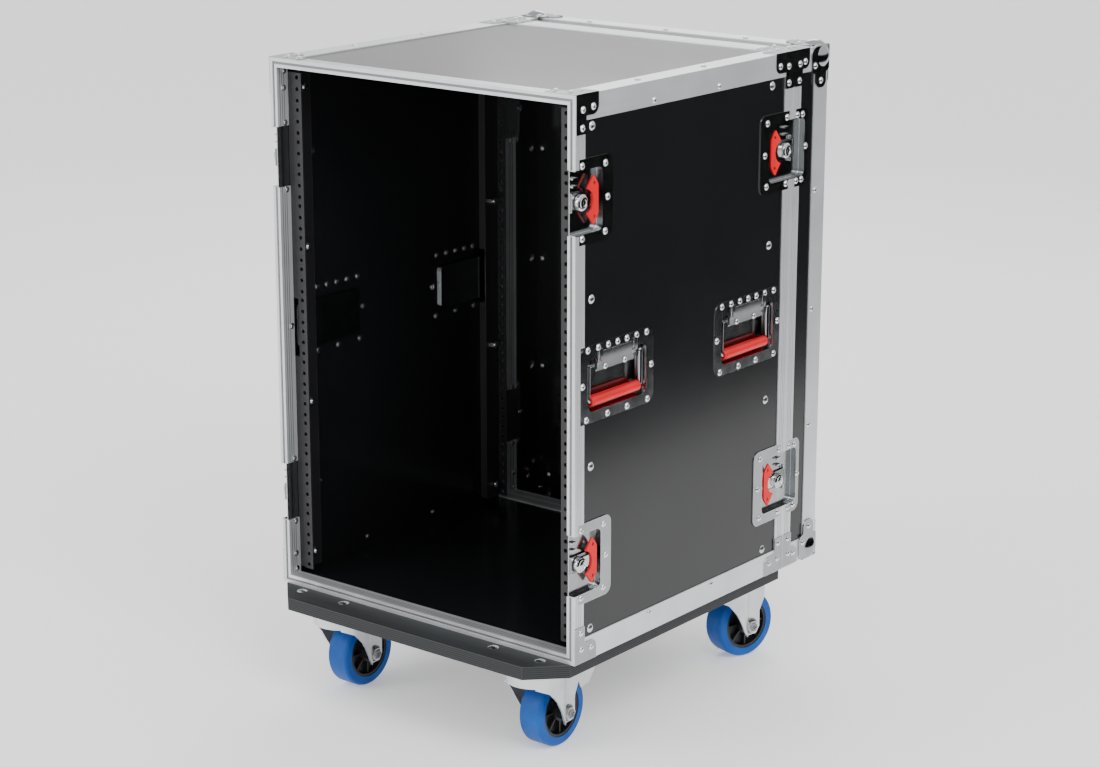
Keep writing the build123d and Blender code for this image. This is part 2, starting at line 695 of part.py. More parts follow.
def make_lid():
    y0, y1 = PART_Y + FRAME_WEB, REAR_Y - SKIN
    side = block(PANEL_IN, PANEL_OUT, y0, y1, BASE_Z + SKIN, TOP_Z - SKIN)
    for sz in (-1, 1):
        side -= latch_opening(PANEL_IN - CUT, PART_Y, 1, LATCH_POCKET_LID + SHEET, MID_Z + sz * LATCH_Z)
    top = block(-PANEL_IN, PANEL_IN, y0, y1, TOP_Z - WALL, TOP_Z - SKIN)
    back = block(-PANEL_IN, PANEL_IN, REAR_Y - WALL, y1, BASE_Z + WALL, TOP_Z - WALL)
    put("lid_panels", two_sides(side), top, flip_z(top), back)


def ball_corner():
    """A cast corner at the top right rear: a ball over the point and an arm on each face."""
    t, half_l, half_w = BALL_PLATE_T, ARM_L / 2, ARM_W / 2
    palm_y, palm_z = PALM[0] / 2, PALM[1] / 2
    arm = RectangleRounded(ARM_W, ARM_L, ARM_ROUND)
    palm = RectangleRounded(*PALM, PALM_ROUND)
    faces = [Pos(HALF_W, REAR_Y - half_w - ARM_IN, TOP_Z - half_l) * extrude(Plane.YZ * arm, t),
             Pos(HALF_W, REAR_Y - palm_y, TOP_Z - palm_z) * extrude(Plane.YZ * palm, t),
             Pos(HALF_W - half_w, REAR_Y, TOP_Z - half_l) * extrude(Plane.XZ * arm, -t),
             Pos(HALF_W - palm_y, REAR_Y, TOP_Z - palm_z) * extrude(Plane.XZ * palm, -t),
             Pos(HALF_W - half_l, REAR_Y - half_w, TOP_Z) * extrude(Rot(0, 0, 90) * arm, t),
             Pos(HALF_W - palm_y, REAR_Y - palm_z, TOP_Z) * extrude(Plane.XY * palm, t)]
    folds = [rod_y(REAR_Y - FOLD_L, REAR_Y, HALF_W, TOP_Z, t),
             rod_x(HALF_W - FOLD_L, HALF_W, REAR_Y, TOP_Z, t),
             rod_z(TOP_Z - FOLD_L, TOP_Z, HALF_W, REAR_Y, t)]
    cap = Pos(HALF_W - BALL_IN, REAR_Y - BALL_IN, TOP_Z - BALL_IN) * Sphere(BALL_R)
    for piece in faces + folds:
        cap += piece
    return cap - block(-HALF_W, HALF_W, FRONT_Y, REAR_Y, BASE_Z, TOP_Z)


BALL_RIVETS = {"side": ((20, 48), (35, 26)), "top": ((48, 13), (30, 28)), "back": ((13, 48), (33, 27))}


def ball_rivets():
    """Two rivets on each face of a ball corner, placed from the edges of the case."""
    t = BALL_PLATE_T
    heads = [rivet_side(REAR_Y - a, TOP_Z - b, HALF_W + t) for a, b in BALL_RIVETS["side"]]
    heads += [rivet_top(HALF_W - a, REAR_Y - b, TOP_Z + t) for a, b in BALL_RIVETS["top"]]
    return heads + [rivet_rear(HALF_W - a, TOP_Z - b, REAR_Y + t) for a, b in BALL_RIVETS["back"]]


# ---- casters ------------------------------------------------------------------------------------
PLATE_Z = BOARD_BOTTOM - PLATE_T
PLATE_ROUND = 8.0
RACE_H = 6.0
RACE_IN = 6.0             # ball race, in from the edge of the crown
RACE_GAP = 1.0
CROWN_TOP = PLATE_Z - RACE_H - RACE_GAP
CROWN_UNDER = CROWN_TOP - FORK_T
SKIRT_Z = BASE_Z - 47.0
KINGPIN_R = 6.0
KINGPIN_HEAD_R = 11.0
KINGPIN_END = 5.0         # head below the crown
KINGPIN_GAP = 0.5
NECK_L = 60.0             # crown plan, along the trail
AXLE_R = 5.0
AXLE_HEAD_R = 9.5
AXLE_HEAD_H = 6.0
TREAD_ROUND = 5.0
RIM_T = 4.0
HUB_R = 33.0
HUB_IN = 1.0              # hub faces, in from the tyre faces
HUB_DISH = 9.0
BOSS_FACE_R = 14.0
BEARING_R = 11.0
BEARING_GAP = 0.5
FORK_HALF = LEG_HALF - FORK_T
LEG_OUTLINE = ((-30, -24), (-30, -50), (-15, -57), (-2, -73), (9, -92), (15, -104), (25, -115),
               (45, -114), (51, -104), (51, -80), (60, -60), (60, -24))
PIN_AT = (56.0, 110.0)    # brake lever pin, along the trail and above the floor
PIN_R = 3.0
LEVER_HALF = FORK_HALF - CLEARANCE
LEVER_OUTLINE = ((50, -34), (50, -45), (62, -62), (68, -76), (86, -73), (97, -60), (101, -34))
LEVER_WEB_Y = (62.0, 98.0)                    # top web of the pedal, along the trail
LEVER_WEB_Z = BASE_Z - 37.0
PAD_HALF = 12.0
PAD_Y = (72.0, 88.0)
PAD_Z = (BASE_Z - 58.0, BASE_Z - 36.0)


def fork():
    """A pressed fork about the swivel axis, its wheel trailing towards +Y."""
    plan = Circle(CROWN_R) + Pos(0, NECK_L / 2) * Rectangle(2 * LEG_HALF, NECK_L)
    core = Circle(CROWN_R - FORK_T) + Pos(0, NECK_L / 2) * Rectangle(2 * FORK_HALF, NECK_L + OUTSIDE)
    outline = [(y, BASE_Z + z) for y, z in LEG_OUTLINE]
    body = extrude(plan - core, CROWN_UNDER) & side_plate(outline, -BIG, BIG)
    body += Pos(0, 0, SKIRT_Z) * extrude(Circle(CROWN_R) - core, CROWN_UNDER - SKIRT_Z)
    body += Pos(0, 0, CROWN_UNDER) * extrude(plan - Circle(KINGPIN_R + RUN_GAP), FORK_T)
    return body - rod_x(-BIG, BIG, TRAIL, WHEEL_R, AXLE_R)


def brake_pin():
    """The pin across the fork that the brake lever turns on."""
    return rod_x(-FORK_HALF, FORK_HALF, *PIN_AT, PIN_R)


def axle():
    """The axle bolt with its hex head and nut."""
    bolt = rod_x(-LEG_HALF, LEG_HALF, TRAIL, WHEEL_R, AXLE_R)
    for sx in (-1, 1):
        hexagon = extrude(Plane.YZ.offset(sx * LEG_HALF) * RegularPolygon(AXLE_HEAD_R, 6), sx * AXLE_HEAD_H)
        bolt += Pos(0, TRAIL, WHEEL_R) * hexagon
    return bolt


def wheel_disc(half, r):
    """A disc about the axle, to the given half width."""
    return rod_x(-half, half, TRAIL, WHEEL_R, r)


def tyre():
    """A plain tyre with rounded shoulders."""
    tread = wheel_disc(WHEEL_W / 2, WHEEL_R)
    tread = fillet(tread.edges().filter_by(GeomType.CIRCLE), TREAD_ROUND)
    return tread - wheel_disc(WHEEL_W, HUB_R + RIM_T)


def hub():
    """The wheel centre: a dished rim, a web and a bearing boss."""
    face = WHEEL_W / 2 - HUB_IN
    dishes = wheel_disc(face, HUB_R) - wheel_disc(face - HUB_DISH, HUB_R) - wheel_disc(face, BOSS_FACE_R)
    core = wheel_disc(face, HUB_R + RIM_T) - dishes
    core += wheel_disc(FORK_HALF - BEARING_GAP, BEARING_R)
    return core - wheel_disc(WHEEL_W, AXLE_R + RUN_GAP / 2)


def brake_lever():
    """A pressed pedal between the fork legs, with a pad over the tyre."""
    outline = [(y, BASE_Z + z) for y, z in LEVER_OUTLINE]
    inner = LEVER_HALF - FORK_T
    pedal = side_plate(outline, -LEVER_HALF, LEVER_HALF)
    pedal -= block(-inner, inner, 0, LEVER_WEB_Y[1], 0, LEVER_WEB_Z)
    pedal -= block(-inner, inner, 0, LEVER_WEB_Y[0], 0, BIG)
    pedal += block(-PAD_HALF, PAD_HALF, *PAD_Y, *PAD_Z)
    return pedal - rod_x(-BIG, BIG, *PIN_AT, PIN_R + RUN_GAP / 2)


def bolt_square():
    """The four bolts of a caster, about its swivel axis."""
    half = CASTER_HOLE / 2
    return [(sx * half, sy * half) for sx in (-1, 1) for sy in (-1, 1)]


def caster_plate():
    """Top plate, upper race and kingpin, about the swivel axis."""
    plate = Pos(0, 0, PLATE_Z + PLATE_T / 2) * Box(PLATE_W, PLATE_W, PLATE_T)
    plate = fillet(plate.edges().filter_by(Axis.Z), PLATE_ROUND)
    plate += rod_z(PLATE_Z - RACE_H, PLATE_Z, 0, 0, CROWN_R - RACE_IN)
    plate += rod_z(CROWN_UNDER - KINGPIN_END, PLATE_Z, 0, 0, KINGPIN_R)
    plate += rod_z(CROWN_UNDER - KINGPIN_END, CROWN_UNDER - KINGPIN_GAP, 0, 0, KINGPIN_HEAD_R)
    return plate - [rod_z(PLATE_Z - CUT, BOARD_BOTTOM + CUT, x, y, BOARD_BOLT_R) for x, y in bolt_square()]


def caster_places():
    """Name, x and y of each swivel axis."""
    for end, y in zip(("front", "rear"), CASTER_Y):
        for side, sx in (("left", -1), ("right", 1)):
            yield f"{end}_{side}", sx * CASTER_X, FRONT_Y + y


def board_bolt(x, y):
    """A sunk bolt through the board and plate, domed where it stands in front of the case, and its nut."""
    bolt = rod_z(PLATE_Z - BOARD_NUT_H - CUT, BASE_Z, x, y, BOARD_BOLT_R)
    bolt += rod_z(BASE_Z - BOARD_SINK, BASE_Z, x, y, BOARD_HEAD_R)
    if y < FRONT_Y - BOARD_HEAD_R:
        bolt += Pos(x, y, BASE_Z) * Rot(0, -90, 0) * dome_x(0, 0, BOARD_HEAD_R, BOARD_HEAD_H, 0)
    return [bolt, Pos(x, y, PLATE_Z - BOARD_NUT_H) * nut(BOARD_NUT_R, BOARD_NUT_H, BOARD_BOLT_R)]


def board_hole(x, y):
    """A stepped hole that takes a board bolt."""
    return [rod_z(BOARD_BOTTOM - CUT, BASE_Z + CUT, x, y, BOARD_BOLT_R),
            rod_z(BASE_Z - BOARD_SINK, BASE_Z + CUT, x, y, BOARD_HEAD_R)]


def make_casters():
    plates, bolts, holes = [], [], []
    plain = {"fork": [fork(), axle()], "tyre": tyre(), "hub": hub()}
    braked = plain | {"fork": [fork(), axle(), brake_pin()], "brake_lever": brake_lever()}
    for name, x, y in caster_places():
        plates.append(Pos(x, y, 0) * caster_plate())
        for dx, dy in bolt_square():
            bolts += board_bolt(x + dx, y + dy)
            holes += board_hole(x + dx, y + dy)
        place = Pos(x, y, 0) * Rot(0, 0, YAW[name])
        kinds = braked if name.startswith("front") else plain
        for kind, pieces in kinds.items():
            put(f"caster_{kind}_{name}", [place * piece for piece in solids(pieces)])
    put("caster_plates", plates)
    make_board(holes)
    return bolts


def make_board(holes):
    y0, y1 = FRONT_Y - BOARD_OVERHANG, PART_Y + BOARD_OVERHANG
    board = block(-BOARD_W / 2, BOARD_W / 2, y0, y1, BOARD_BOTTOM, BASE_Z)
    board = chamfer(board.edges().filter_by(Axis.Z), BOARD_CHAMFER)
    put("caster_board", board - holes)


# ---- rivets on the angles -----------------------------------------------------------------------
ANGLE_RIVET_Y = (165.0, 311.0)
ANGLE_RIVET_DOWN = 26.0
ANGLE_RIVET_IN = 16.0
TOP_STAGGER = 15.0
LID_RIVET_Z = (-173.0, 0.0, 173.0)
LID_RIVET_X = (-140.0, 0.0, 140.0)
LID_RIVET_SIDE = 25.0     # from the back of the lid
LID_RIVET_BACK = 20.0     # from the side and the top


def angle_rivets():
    """Rivets of the long edge angles on the top right edge."""
    heads = [rivet_side(FRONT_Y + y, TOP_Z - ANGLE_RIVET_DOWN) for y in ANGLE_RIVET_Y]
    return heads + [rivet_top(HALF_W - ANGLE_RIVET_IN, FRONT_Y + y - TOP_STAGGER) for y in ANGLE_RIVET_Y]


def lid_angle_rivets():
    """Rivets of the rear frame angles: both sides, the back and the top."""
    heads = [rivet_side(REAR_Y - LID_RIVET_SIDE, MID_Z + up) for up in LID_RIVET_Z]
    heads += [rivet_rear(HALF_W - LID_RIVET_BACK, MID_Z + up) for up in LID_RIVET_Z]
    middle = [rivet_top(x, REAR_Y - LID_RIVET_SIDE) for x in LID_RIVET_X]
    middle += [rivet_rear(x, TOP_Z - LID_RIVET_BACK) for x in LID_RIVET_X]
    return [two_sides(heads), middle, flip_z(middle[3:])]


def edge_rivets():
    """Rivets of the body braces and angles, for all four long edges."""
    heads = brace_rivets(FRONT_Y, 1, BRACE_LEN) + brace_rivets(PART_Y, -1, BRACE_LEN)
    return above_board(four_corners(heads + angle_rivets()))


def write_parts():
    os.makedirs("parts", exist_ok=True)
    for name, pieces in parts.items():
        whole = pieces[0] if len(pieces) == 1 else Compound(children=pieces)
        whole.label = name
        export_step(whole, f"parts/{name}.step")


def main():
    make_panels()
    make_angles()
    make_latches()
    make_lid()
    rail_bolts = make_rails()
    handle_heads = make_handles()
    board_bolts = make_casters()
    put("bolts", rail_bolts, board_bolts)
    braces = [brace(FRONT_Y, 1, BRACE_LEN), brace(PART_Y, -1, BRACE_LEN)]
    put("corner_braces", above_board(four_corners(braces)))
    put("lid_braces", above_board(four_corners(brace(PART_Y, 1, LATCH_LID))))
    put("lid_ball_corners", four_corners(ball_corner()))
    body_heads, lid_heads = latch_rivets()
    put("body_rivets", two_sides(body_heads + handle_heads), edge_rivets())
    lid_heads = [two_sides(lid_heads), above_board(four_corners(brace_rivets(PART_Y, 1, LATCH_LID)))]
    put("lid_rivets", lid_heads, four_corners(ball_rivets()), lid_angle_rivets())
    write_parts()


main()
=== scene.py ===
"""Looks of a 16-unit rack road case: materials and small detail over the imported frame. Metres, +Z up."""
import bmesh
import bpy
import json
import math
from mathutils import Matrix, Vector


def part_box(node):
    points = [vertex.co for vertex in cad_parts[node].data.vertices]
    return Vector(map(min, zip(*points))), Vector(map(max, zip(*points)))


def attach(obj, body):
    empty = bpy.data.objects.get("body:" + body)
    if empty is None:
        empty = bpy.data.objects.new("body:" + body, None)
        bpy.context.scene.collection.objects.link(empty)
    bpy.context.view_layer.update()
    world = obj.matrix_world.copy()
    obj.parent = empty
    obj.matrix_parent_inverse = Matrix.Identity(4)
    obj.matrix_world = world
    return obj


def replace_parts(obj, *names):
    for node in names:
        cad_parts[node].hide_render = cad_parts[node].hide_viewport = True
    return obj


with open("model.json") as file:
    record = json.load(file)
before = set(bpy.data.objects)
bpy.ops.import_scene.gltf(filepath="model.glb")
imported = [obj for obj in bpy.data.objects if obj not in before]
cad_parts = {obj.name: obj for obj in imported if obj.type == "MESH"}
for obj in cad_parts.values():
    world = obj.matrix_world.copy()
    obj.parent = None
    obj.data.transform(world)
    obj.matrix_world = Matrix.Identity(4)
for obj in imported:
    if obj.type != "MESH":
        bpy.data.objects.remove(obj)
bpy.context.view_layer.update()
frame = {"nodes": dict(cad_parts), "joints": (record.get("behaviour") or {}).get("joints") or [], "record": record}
nodes = frame["nodes"]
MM = 0.001
X, Y, Z = Vector((1, 0, 0)), Vector((0, 1, 0)), Vector((0, 0, 1))
JOINTS = {joint["name"]: joint for joint in frame["joints"]}


def joint_place(name):
    return Vector(JOINTS[name]["pos_m"])


# ---- shader helpers -----------------------------------------------------------------------------
class Material:
    """A node material built line by line on one principled shader."""

    def __init__(self, name):
        self.mat = bpy.data.materials.new(name)
        self.mat.use_nodes = True
        self.tree = self.mat.node_tree
        self.shader = self.tree.nodes["Principled BSDF"]
        self.place = self.add("ShaderNodeTexCoord").outputs["Object"]

    def add(self, kind, **values):
        node = self.tree.nodes.new(kind)
        for key, value in values.items():
            setattr(node, key, value)
        return node

    def link(self, out, socket):
        self.tree.links.new(out, socket)

    def fixed(self, **values):
        for key, value in values.items():
            self.shader.inputs[key.replace("_", " ")].default_value = value
        return self

    def math(self, operation, *values):
        node = self.add("ShaderNodeMath", operation=operation)
        for socket, value in zip(node.inputs, values):
            if isinstance(value, (int, float)):
                socket.default_value = value
            else:
                self.link(value, socket)
        return node.outputs[0]

    def noise(self, scale, detail=3.0, stretch=(1, 1, 1), rough=0.5):
        spread = self.add("ShaderNodeMapping")
        spread.inputs["Scale"].default_value = stretch
        self.link(self.place, spread.inputs["Vector"])
        node = self.add("ShaderNodeTexNoise")
        node.inputs["Scale"].default_value = scale
        node.inputs["Detail"].default_value = detail
        node.inputs["Roughness"].default_value = rough
        self.link(spread.outputs[0], node.inputs["Vector"])
        return node.outputs["Fac"]

    def ramp(self, value, *stops):
        """Colours or greys at places along 0 to 1."""
        node = self.add("ShaderNodeValToRGB")
        self.link(value, node.inputs[0])
        points = node.color_ramp.elements
        while len(points) < len(stops):
            points.new(0.5)
        for point, (at, colour) in zip(points, stops):
            point.position = at
            grey = isinstance(colour, (int, float))
            point.color = (colour, colour, colour, 1) if grey else (*colour, 1)
        return node.outputs[0]

    def spread(self, value, low, high):
        node = self.add("ShaderNodeMapRange")
        node.inputs["To Min"].default_value = low
        node.inputs["To Max"].default_value = high
        self.link(value, node.inputs["Value"])
        return node.outputs[0]

    def mix(self, factor, a, b):
        node = self.add("ShaderNodeMix", data_type="RGBA")
        self.link(factor, node.inputs["Factor"])
        for socket, value in ((node.inputs[6], a), (node.inputs[7], b)):
            if isinstance(value, tuple):
                socket.default_value = (*value, 1)
            else:
                self.link(value, socket)
        return node.outputs[2]

    def colour(self, out):
        self.link(out, self.shader.inputs["Base Color"])
        return self

    def rough(self, out):
        self.link(out, self.shader.inputs["Roughness"])
        return self

    def bump(self, height, distance, strength=1.0):
        node = self.add("ShaderNodeBump")
        node.inputs["Distance"].default_value = distance
        node.inputs["Strength"].default_value = strength
        self.link(height, node.inputs["Height"])
        self.link(node.outputs[0], self.shader.inputs["Normal"])
        return self

    def edges(self, width=0.0007):
        """White on rounded edges and in creases, black elsewhere: a painted highlight on the metals and the red
        paint, edge wear on the black powder coat, lighter edges on the plywood.
        """
        rounded = self.add("ShaderNodeBevel", samples=4)
        rounded.inputs["Radius"].default_value = width
        turn = self.add("ShaderNodeVectorMath", operation="DOT_PRODUCT")
        self.link(rounded.outputs[0], turn.inputs[0])
        self.link(self.add("ShaderNodeNewGeometry").outputs["Normal"], turn.inputs[1])
        return self.ramp(turn.outputs["Value"], (0.9, 1.0), (0.99, 0.0))

    def axis(self, name):
        node = self.add("ShaderNodeSeparateXYZ")
        self.link(self.place, node.inputs[0])
        return node.outputs[name]

    def facing(self, name):
        """1 on faces that look along an axis, 0 on the others."""
        node = self.add("ShaderNodeSeparateXYZ")
        self.link(self.add("ShaderNodeNewGeometry").outputs["Normal"], node.inputs[0])
        return self.math("GREATER_THAN", self.math("ABSOLUTE", node.outputs[name]), 0.5)


def laminate():
    m = Material("black_laminate").fixed(Specular_IOR_Level=0.42)
    haze = m.noise(3.0, 4.0)
    m.colour(m.ramp(haze, (0.3, (0.0055, 0.0058, 0.0065)), (0.75, (0.0085, 0.009, 0.0105))))
    m.rough(m.spread(m.noise(9.0, 5.0), 0.15, 0.24))
    return m.bump(m.noise(900.0, 2.0), 0.00003, 0.35).mat


def flute_painted_shade(m):
    """1 in the flutes of the edge extrusions and in their meeting grooves: the mask for painted shade there."""
    in_front, in_part = [m.math("ABSOLUTE", m.math("SUBTRACT", m.axis("Y"), plane))
                         for plane in (FRONT_Y, PART_Y)]
    along = m.math("MINIMUM", in_front, in_part)
    across = m.facing("Y")
    mask = m.math("MULTIPLY", m.math("COMPARE", along, GROOVE_DEPTH, 0.2 * MM), across)
    for flute in FLUTES:
        line = m.math("COMPARE", along, flute, FLUTE_HALF)
        mask = m.math("MAXIMUM", mask, m.math("MULTIPLY", line, m.math("SUBTRACT", 1.0, across)))
    return mask


def aluminium():
    """Drawn aluminium with fine lines along each length, mitred at the corners of the frames."""
    m = Material("drawn_aluminium").fixed(Metallic=0.62)
    along_y, upright, across = [m.noise(420.0, 4.0, stretch)
                                for stretch in ((1, 0.012, 1), (1, 1, 0.012), (0.012, 1, 1))]
    across_x = m.math("ABSOLUTE", m.axis("X"))
    over_z = m.math("ABSOLUTE", m.math("SUBTRACT", m.axis("Z"), MID_Z))
    beyond_x, beyond_z = m.math("SUBTRACT", across_x, HALF_W), m.math("SUBTRACT", over_z, HALF_H)
    is_upright = m.math("GREATER_THAN", beyond_x, beyond_z)
    past_front = m.math("SUBTRACT", m.axis("Y"), FRONT_Y + FRAME_LEG)
    before_back = m.math("SUBTRACT", BACK_RUN, m.axis("Y"))
    in_frame = m.math("LESS_THAN", m.math("MULTIPLY", past_front, before_back), 0.0)
    ring_lines = m.mix(is_upright, across, upright)
    grain = m.mix(in_frame, along_y, ring_lines)
    cloud = m.noise(14.0, 4.0)
    tone = m.ramp(cloud, (0.3, (0.60, 0.62, 0.635)), (0.7, (0.70, 0.72, 0.735)))
    # painted shade: the flutes and meeting grooves are darkened
    tone = m.mix(flute_painted_shade(m), tone, (0.22, 0.226, 0.23))
    # painted highlight: edges and creases lighter
    m.colour(m.mix(m.edges(), tone, (0.9, 0.91, 0.92)))
    m.rough(m.spread(grain, 0.3, 0.48))
    return m.bump(grain, 0.00006, 0.35).mat


def plated(name="bright_plate", tone=(0.36, 0.375, 0.385), low=0.12, high=0.24):
    m = Material(name).fixed(Metallic=1.0)
    dark = tuple(0.82 * c for c in tone)
    # painted highlight: edges and creases lighter
    m.colour(m.mix(m.edges(), m.ramp(m.noise(22.0, 5.0), (0.3, dark), (0.7, tone)), (0.92, 0.93, 0.94)))
    m.rough(m.spread(m.noise(60.0, 4.0), low, high))
    return m.bump(m.noise(130.0, 3.0), 0.00015, 0.25).mat


def zinc():
    m = Material("bright_zinc").fixed(Metallic=0.85)
    spangle = m.ramp(m.noise(35.0, 6.0), (0.3, (0.60, 0.62, 0.63)), (0.7, (0.74, 0.755, 0.765)))
    # painted highlight: edges and creases lighter
    m.colour(m.mix(m.edges(), spangle, (0.88, 0.89, 0.9)))
    m.rough(m.spread(m.noise(50.0, 5.0), 0.26, 0.44))
    return m.bump(m.noise(240.0, 4.0), 0.0002, 0.3).mat


def powder(name, colour, rough=(0.3, 0.45), edge_wear_and_highlight=(0.08, 0.08, 0.085)):
    m = Material(name).fixed(Specular_IOR_Level=0.5)
    light = tuple(min(1.0, 1.25 * c) for c in colour)
    # edges and creases take the given colour: edge wear on the black coat, a painted highlight on the red paint
    m.colour(m.mix(m.edges(), m.ramp(m.noise(18.0, 4.0), (0.3, colour), (0.75, light)), edge_wear_and_highlight))
    m.rough(m.spread(m.noise(80.0, 4.0), *rough))
    return m.bump(m.noise(1400.0, 2.0), 0.00008, 0.45).mat


def red_paint():
    # the lighter red on edges and creases is a painted highlight
    m = powder("red_powder_coat", (0.60, 0.001, 0.006), (0.3, 0.42), (0.7, 0.02, 0.03))
    m.node_tree.nodes["Principled BSDF"].inputs["Specular IOR Level"].default_value = 0.22
    return m


def red_sleeve():
    m = Material("red_moulded_sleeve").fixed(Specular_IOR_Level=0.25, Coat_Weight=0.1, Coat_Roughness=0.25)
    m.colour(m.ramp(m.noise(30.0, 4.0), (0.3, (0.56, 0.001, 0.005)), (0.75, (0.68, 0.002, 0.009))))
    m.rough(m.spread(m.noise(120.0, 4.0), 0.3, 0.42))
    return m.bump(m.noise(1100.0, 3.0), 0.00012, 0.5).mat


def tyre_rubber():
    m = Material("blue_elastic_rubber").fixed(Specular_IOR_Level=0.25)
    scuff = m.ramp(m.noise(26.0, 6.0, rough=0.65), (0.42, (0.001, 0.062, 0.30)), (0.7, (0.003, 0.092, 0.39)))
    m.colour(scuff)
    m.rough(m.spread(m.noise(70.0, 5.0), 0.36, 0.56))
    return m.bump(m.noise(700.0, 4.0), 0.00018, 0.5).mat


def nylon():
    m = Material("black_nylon").fixed(Specular_IOR_Level=0.45)
    m.colour(m.ramp(m.noise(30.0, 4.0), (0.3, (0.008, 0.008, 0.009)), (0.75, (0.016, 0.016, 0.018))))
    m.rough(m.spread(m.noise(100.0, 4.0), 0.34, 0.5))
    return m.bump(m.noise(900.0, 3.0), 0.0001, 0.5).mat


def stained_plywood():
    """Black stained plywood: grain along X on the faces and plies on the edges."""
    m = Material("black_stained_plywood").fixed(Specular_IOR_Level=0.2)
    grain = m.noise(70.0, 8.0, (0.07, 1, 1), 0.65)
    plies = m.add("ShaderNodeTexWave", wave_type="BANDS", bands_direction="Z")
    plies.inputs["Scale"].default_value = 110.0
    plies.inputs["Distortion"].default_value = 0.6
    m.link(m.place, plies.inputs["Vector"])
    is_edge = m.math("SUBTRACT", 1.0, m.facing("Z"))
    wood = m.ramp(grain, (0.35, (0.020, 0.022, 0.024)), (0.7, (0.042, 0.046, 0.050)))
    layer = m.ramp(plies.outputs["Fac"], (0.3, (0.016, 0.018, 0.019)), (0.7, (0.04, 0.043, 0.046)))
    m.colour(m.mix(m.edges(), m.mix(is_edge, wood, layer), (0.11, 0.11, 0.11)))
    m.rough(m.spread(grain, 0.42, 0.66))
    return m.bump(grain, 0.0004, 0.5).mat


def painted_wood():
    m = Material("black_painted_batten")
    grain = m.noise(60.0, 7.0, (1, 1, 0.06), 0.6)
    m.colour(m.ramp(grain, (0.3, (0.010, 0.010, 0.011)), (0.75, (0.022, 0.022, 0.023))))
    m.rough(m.spread(grain, 0.5, 0.7))
    return m.bump(grain, 0.0004, 0.4).mat


# ---- places read from the frame -----------------------------------------------------------------
front_low, front_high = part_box("front_edge_frame")
HALF_W = front_high.x
HALF_H = (front_high.z - front_low.z) / 2
MID_Z = (front_high.z + front_low.z) / 2
BASE_Z, TOP_Z = front_low.z, front_high.z
FRONT_Y = front_low.y
PART_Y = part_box("rear_edge_frame")[1].y
REAR_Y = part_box("lid_extrusions")[1].y
FRAME_LEG = 20 * MM
FLUTES = (5.6 * MM, 9.6 * MM, 13.6 * MM)      # from the meeting face
FLUTE_HALF = 0.65 * MM
GROOVE_DEPTH = 1.8 * MM
BACK_RUN = PART_Y - FRAME_LEG
SIDES = (("left", -1), ("right", 1))
ENDS = ("front", "rear")

MATERIALS = {
    "laminated_plywood": laminate(),
    "aluminium_extrusion": aluminium(),
    "plated_steel": plated(),
    "rivet_steel": plated("rivet_steel", (0.84, 0.85, 0.86), 0.14, 0.28),
    "zinc_bolts": plated("zinc_bolts", (0.72, 0.73, 0.74), 0.2, 0.34),
    "black_rail_steel": powder("black_powder_coat", (0.010, 0.010, 0.011)),
    "dark_wood": painted_wood(),
    "black_plywood": stained_plywood(),
    "zinc_steel": zinc(),
    "blue_tyre": tyre_rubber(),
    "black_nylon": nylon(),
    "red_grip": red_sleeve(),
    "red_paddle": red_paint(),
}
CHROME = plated("bright_chrome", (0.62, 0.64, 0.65), 0.08, 0.18)
# a darker copy of the plated chrome: painted shade on the hinge covers and axle nuts
SHADED_DARK_PLATE = plated("hinge_plate", (0.17, 0.176, 0.18), 0.2, 0.32)
# a darker copy of the plated chrome: painted shade on the latch hooks
SHADED_HOOK_PLATE = plated("hook_plate", (0.22, 0.226, 0.23), 0.16, 0.3)


SOFT_EDGE = {
    "aluminium_extrusion": 0.35 * MM, "plated_steel": 0.45 * MM, "zinc_steel": 0.7 * MM,
    "laminated_plywood": 0.3 * MM, "black_plywood": 1.2 * MM, "black_nylon": 0.6 * MM,
    "black_rail_steel": 0.3 * MM, "red_paddle": 0.5 * MM, "dark_wood": 0.8 * MM,
}


def soften(node, width):
    """Round the sharp edges of a CAD node so that they catch the light."""
    flat = node.modifiers.new("flat_faces", "DECIMATE")
    flat.decimate_type = "DISSOLVE"
    flat.angle_limit = math.radians(1.0)
    round_edge = node.modifiers.new("soft_edges", "BEVEL")
    round_edge.width = width
    round_edge.segments = 2
    round_edge.limit_method = "ANGLE"
    round_edge.angle_limit = math.radians(40)
    round_edge.harden_normals = True
    round_edge.miter_outer = "MITER_ARC"


def dress_nodes():
    """Give every CAD node its material, and soften its edges."""
    for part in frame["record"]["subparts"]:
        node = nodes[part["node"]]
        slot = part["material_slot"]
        node.data.materials.clear()
        # latch hooks get the darker plate, which is painted shade
        node.data.materials.append(SHADED_HOOK_PLATE if part["node"].startswith("latch_hook") else MATERIALS[slot])
        if slot in SOFT_EDGE:
            soften(node, SOFT_EDGE[slot])


HUB_REACH = 12 * MM           # the paddle lies further from the spindle than this
PADDLE_DEPTH = 3.5 * MM       # and nearer the outer face than this


def dress_wings():
    """The wings are chromed, with only the paddle painted."""
    for name, node in nodes.items():
        if not name.startswith("latch_wing"):
            continue
        node.data.materials.append(CHROME)
        spindle = joint_place("latch_turn_" + name.removeprefix("latch_wing_"))
        for face in node.data.polygons:
            away = face.center - spindle
            on_paddle = math.hypot(away.y, away.z) > HUB_REACH and abs(face.center.x) > HALF_W - PADDLE_DEPTH
            face.material_index = 0 if on_paddle else 1


dress_nodes()
dress_wings()


# ---- mesh helpers -------------------------------------------------------------------------------
def in_mm(*points):
    return [(a * MM, b * MM) for a, b in points]


